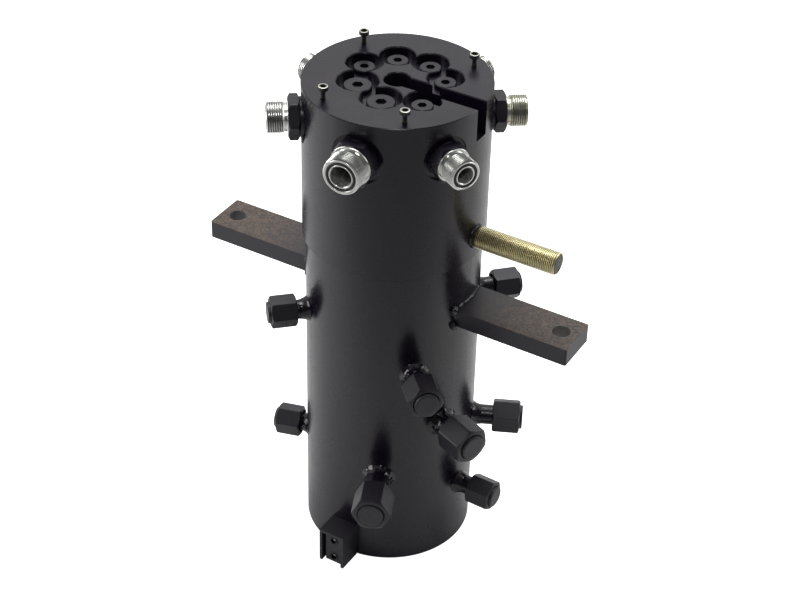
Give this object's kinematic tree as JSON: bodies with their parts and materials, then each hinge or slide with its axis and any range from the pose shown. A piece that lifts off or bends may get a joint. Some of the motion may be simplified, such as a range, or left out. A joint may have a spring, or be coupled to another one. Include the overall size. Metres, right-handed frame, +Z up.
{
  "type": "hydraulic rotary union",
  "caption": "Hydraulic rotary union: fixed sleeve with torque arms and capped ports, and a turning head with hose adapters, a drive stud and a central cable bore.",
  "frame": {"origin": "centre of the sleeve's foot, on the deck it stands on", "axes": "+Z up along the axis of rotation; +X along the right torque arm, the head's slot and the drive stud"},
  "size_m": [0.4032, 0.2597, 0.5323],
  "materials": {
    "black_paint": "satin",
    "painted_weld": "gloss",
    "zinc": "satin",
    "bright_steel": "satin",
    "yellow_zinc": "satin",
    "black_oxide": "satin",
    "rubber": "matte",
    "seal_plastic": "matte",
    "bronze": "satin"
  },
  "bodies": {
    "sleeve_body": {"sleeve": "black_paint", "upper_bush": "bronze", "lower_bush": "bronze", "seal_rings": "seal_plastic", "seal_springs": "rubber", "dust_wiper": "seal_plastic", "upper_thrust_ring": "bronze", "lower_thrust_ring": "bronze", "arm_right": "black_paint", "arm_left": "black_paint", "arm_welds": "painted_weld", "port_welds": "painted_weld", "port_tubes_small": "black_paint", "port_tubes_medium": "black_paint", "port_tubes_large": "black_paint", "cap_nuts_small": "black_paint", "cap_nuts_medium": "black_paint", "cap_nuts_large": "black_paint", "blanking_discs_small": "black_paint", "blanking_discs_medium": "black_paint", "blanking_discs_large": "black_paint", "anchor_channel": "black_paint", "anchor_block": "black_paint", "anchor_screws": "black_oxide"},
    "rotor_body": {"rotor": "black_paint", "retaining_plate": "black_paint", "retaining_bolts": "black_oxide", "gallery_plugs_small": "zinc", "gallery_plugs_large": "zinc", "plug_rings": "rubber", "face_rings": "rubber", "port_rings": "rubber", "cover_screws": "bright_steel", "drive_stud": "yellow_zinc", "stud_weld": "painted_weld", "adapter_1": "zinc", "adapter_2": "zinc", "adapter_3": "zinc", "adapter_4": "zinc", "adapter_5": "zinc", "adapter_6": "zinc", "adapter_7": "zinc"}
  },
  "joints": [
    {"name": "head_turn", "type": "hinge", "parent": "sleeve_body", "child": "rotor_body", "pos_m": [0, 0, 0], "axis": [0, 0, 1], "continuous": true}
  ]
}
